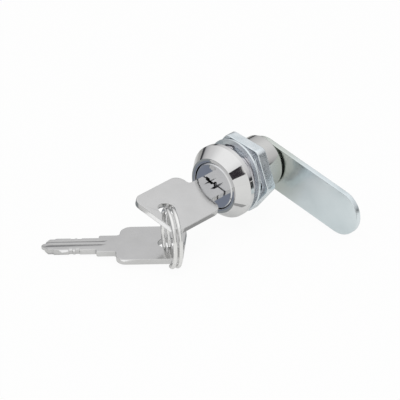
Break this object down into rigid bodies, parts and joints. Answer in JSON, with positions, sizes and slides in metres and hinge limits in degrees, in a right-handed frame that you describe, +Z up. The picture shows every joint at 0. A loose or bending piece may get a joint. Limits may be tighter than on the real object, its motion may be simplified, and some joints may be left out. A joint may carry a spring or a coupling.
{
  "type": "cam lock",
  "caption": "Quarter turn cam lock with a round bezel, fixing nut and washer, flat cam, and two flat keys on a split ring.",
  "frame": {"origin": "on the lock's axis, in the plane of the head's back face, which seats on the door's front", "axes": "+Y along the axis to the rear, towards the cam; +X to the right of someone facing the head; +Z up as the lock lies on a table"},
  "size_m": [0.0676, 0.0747, 0.0263],
  "materials": {
    "bright_chrome": "polished chrome plate",
    "plug_chrome": "polished chrome plate",
    "zinc_plate": "zinc plated steel, satin",
    "nut_zinc": "zinc plated steel, fine grain",
    "key_nickel": "nickel plated, satin",
    "ring_nickel": "nickel plated, bright",
    "spring_steel": "bare spring steel",
    "brass": "bare brass"
  },
  "bodies": {
    "housing": {"lock_housing": "bright_chrome"},
    "plug": {"lock_plug": "plug_chrome", "retainer_plate": "brass", "retainer_spring": "spring_steel", "stop_washer": "zinc_plate", "cam_arm": "zinc_plate", "cam_washer": "zinc_plate", "spring_washer": "spring_steel", "cam_screw": "zinc_plate", "wafer_spring_1": "spring_steel", "wafer_spring_2": "spring_steel", "wafer_spring_3": "spring_steel", "wafer_spring_4": "spring_steel", "wafer_spring_5": "spring_steel", "wafer_spring_6": "spring_steel"},
    "inserted_key": {"inserted_key": "key_nickel"},
    "split_ring": {"split_ring": "ring_nickel"},
    "loose_key": {"loose_key": "key_nickel"},
    "fixing_nut": {"fixing_nut": "nut_zinc"},
    "fixing_washer": {"fixing_washer": "nut_zinc"},
    "wafer_1": {"wafer_1": "brass"},
    "wafer_2": {"wafer_2": "brass"},
    "wafer_3": {"wafer_3": "brass"},
    "wafer_4": {"wafer_4": "brass"},
    "wafer_5": {"wafer_5": "brass"},
    "wafer_6": {"wafer_6": "brass"}
  },
  "joints": [
    {"name": "plug_turn", "type": "hinge", "parent": "housing", "child": "plug", "pos_m": [0, 0, 0], "axis": [0, 1, 0], "range_deg": [-90, 0]},
    {"name": "key_slide", "type": "slide", "parent": "plug", "child": "inserted_key", "axis": [0, -1, 0], "range_m": [0, 0.018]},
    {"name": "ring_turn", "type": "hinge", "parent": "inserted_key", "child": "split_ring", "pos_m": [0.00576, -0.0306, -0.00531], "axis": [0.5606, 0.8281, 0], "range_deg": [-15, 15]},
    {"name": "loose_key_swing", "type": "hinge", "parent": "split_ring", "child": "loose_key", "pos_m": [0.00056, -0.02708, -0.01126], "axis": [-0.57, 0.3859, 0.7254], "range_deg": [-8, 15]},
    {"name": "nut_travel", "type": "slide", "parent": "housing", "child": "fixing_nut", "axis": [0, 1, 0], "range_m": [-0.00243, 0]},
    {"name": "washer_tilt", "type": "hinge", "parent": "housing", "child": "fixing_washer", "pos_m": [0.00988, 0.00243, -0.00594], "axis": [-0.515, 0, -0.8572], "range_deg": [-6.3, 0]},
    {"name": "wafer_1_slide", "type": "slide", "parent": "plug", "child": "wafer_1", "axis": [0.9724, 0, -0.2334], "range_m": [0, 0.0006]},
    {"name": "wafer_2_slide", "type": "slide", "parent": "plug", "child": "wafer_2", "axis": [-0.9724, 0, 0.2334], "range_m": [0, 0.0006]},
    {"name": "wafer_3_slide", "type": "slide", "parent": "plug", "child": "wafer_3", "axis": [0.9724, 0, -0.2334], "range_m": [0, 0.0006]},
    {"name": "wafer_4_slide", "type": "slide", "parent": "plug", "child": "wafer_4", "axis": [-0.9724, 0, 0.2334], "range_m": [0, 0.0006]},
    {"name": "wafer_5_slide", "type": "slide", "parent": "plug", "child": "wafer_5", "axis": [0.9724, 0, -0.2334], "range_m": [0, 0.0006]},
    {"name": "wafer_6_slide", "type": "slide", "parent": "plug", "child": "wafer_6", "axis": [-0.9724, 0, 0.2334], "range_m": [0, 0.0006]}
  ],
  "couplings": [
    {"joint": "washer_tilt", "follows": "nut_travel", "rad_per_m": 45.24},
    {"joint": "wafer_1_slide", "follows": "key_slide", "ratio": 0.0333},
    {"joint": "wafer_2_slide", "follows": "key_slide", "ratio": 0.0333},
    {"joint": "wafer_3_slide", "follows": "key_slide", "ratio": 0.0333},
    {"joint": "wafer_4_slide", "follows": "key_slide", "ratio": 0.0333},
    {"joint": "wafer_5_slide", "follows": "key_slide", "ratio": 0.0333},
    {"joint": "wafer_6_slide", "follows": "key_slide", "ratio": 0.0333}
  ]
}
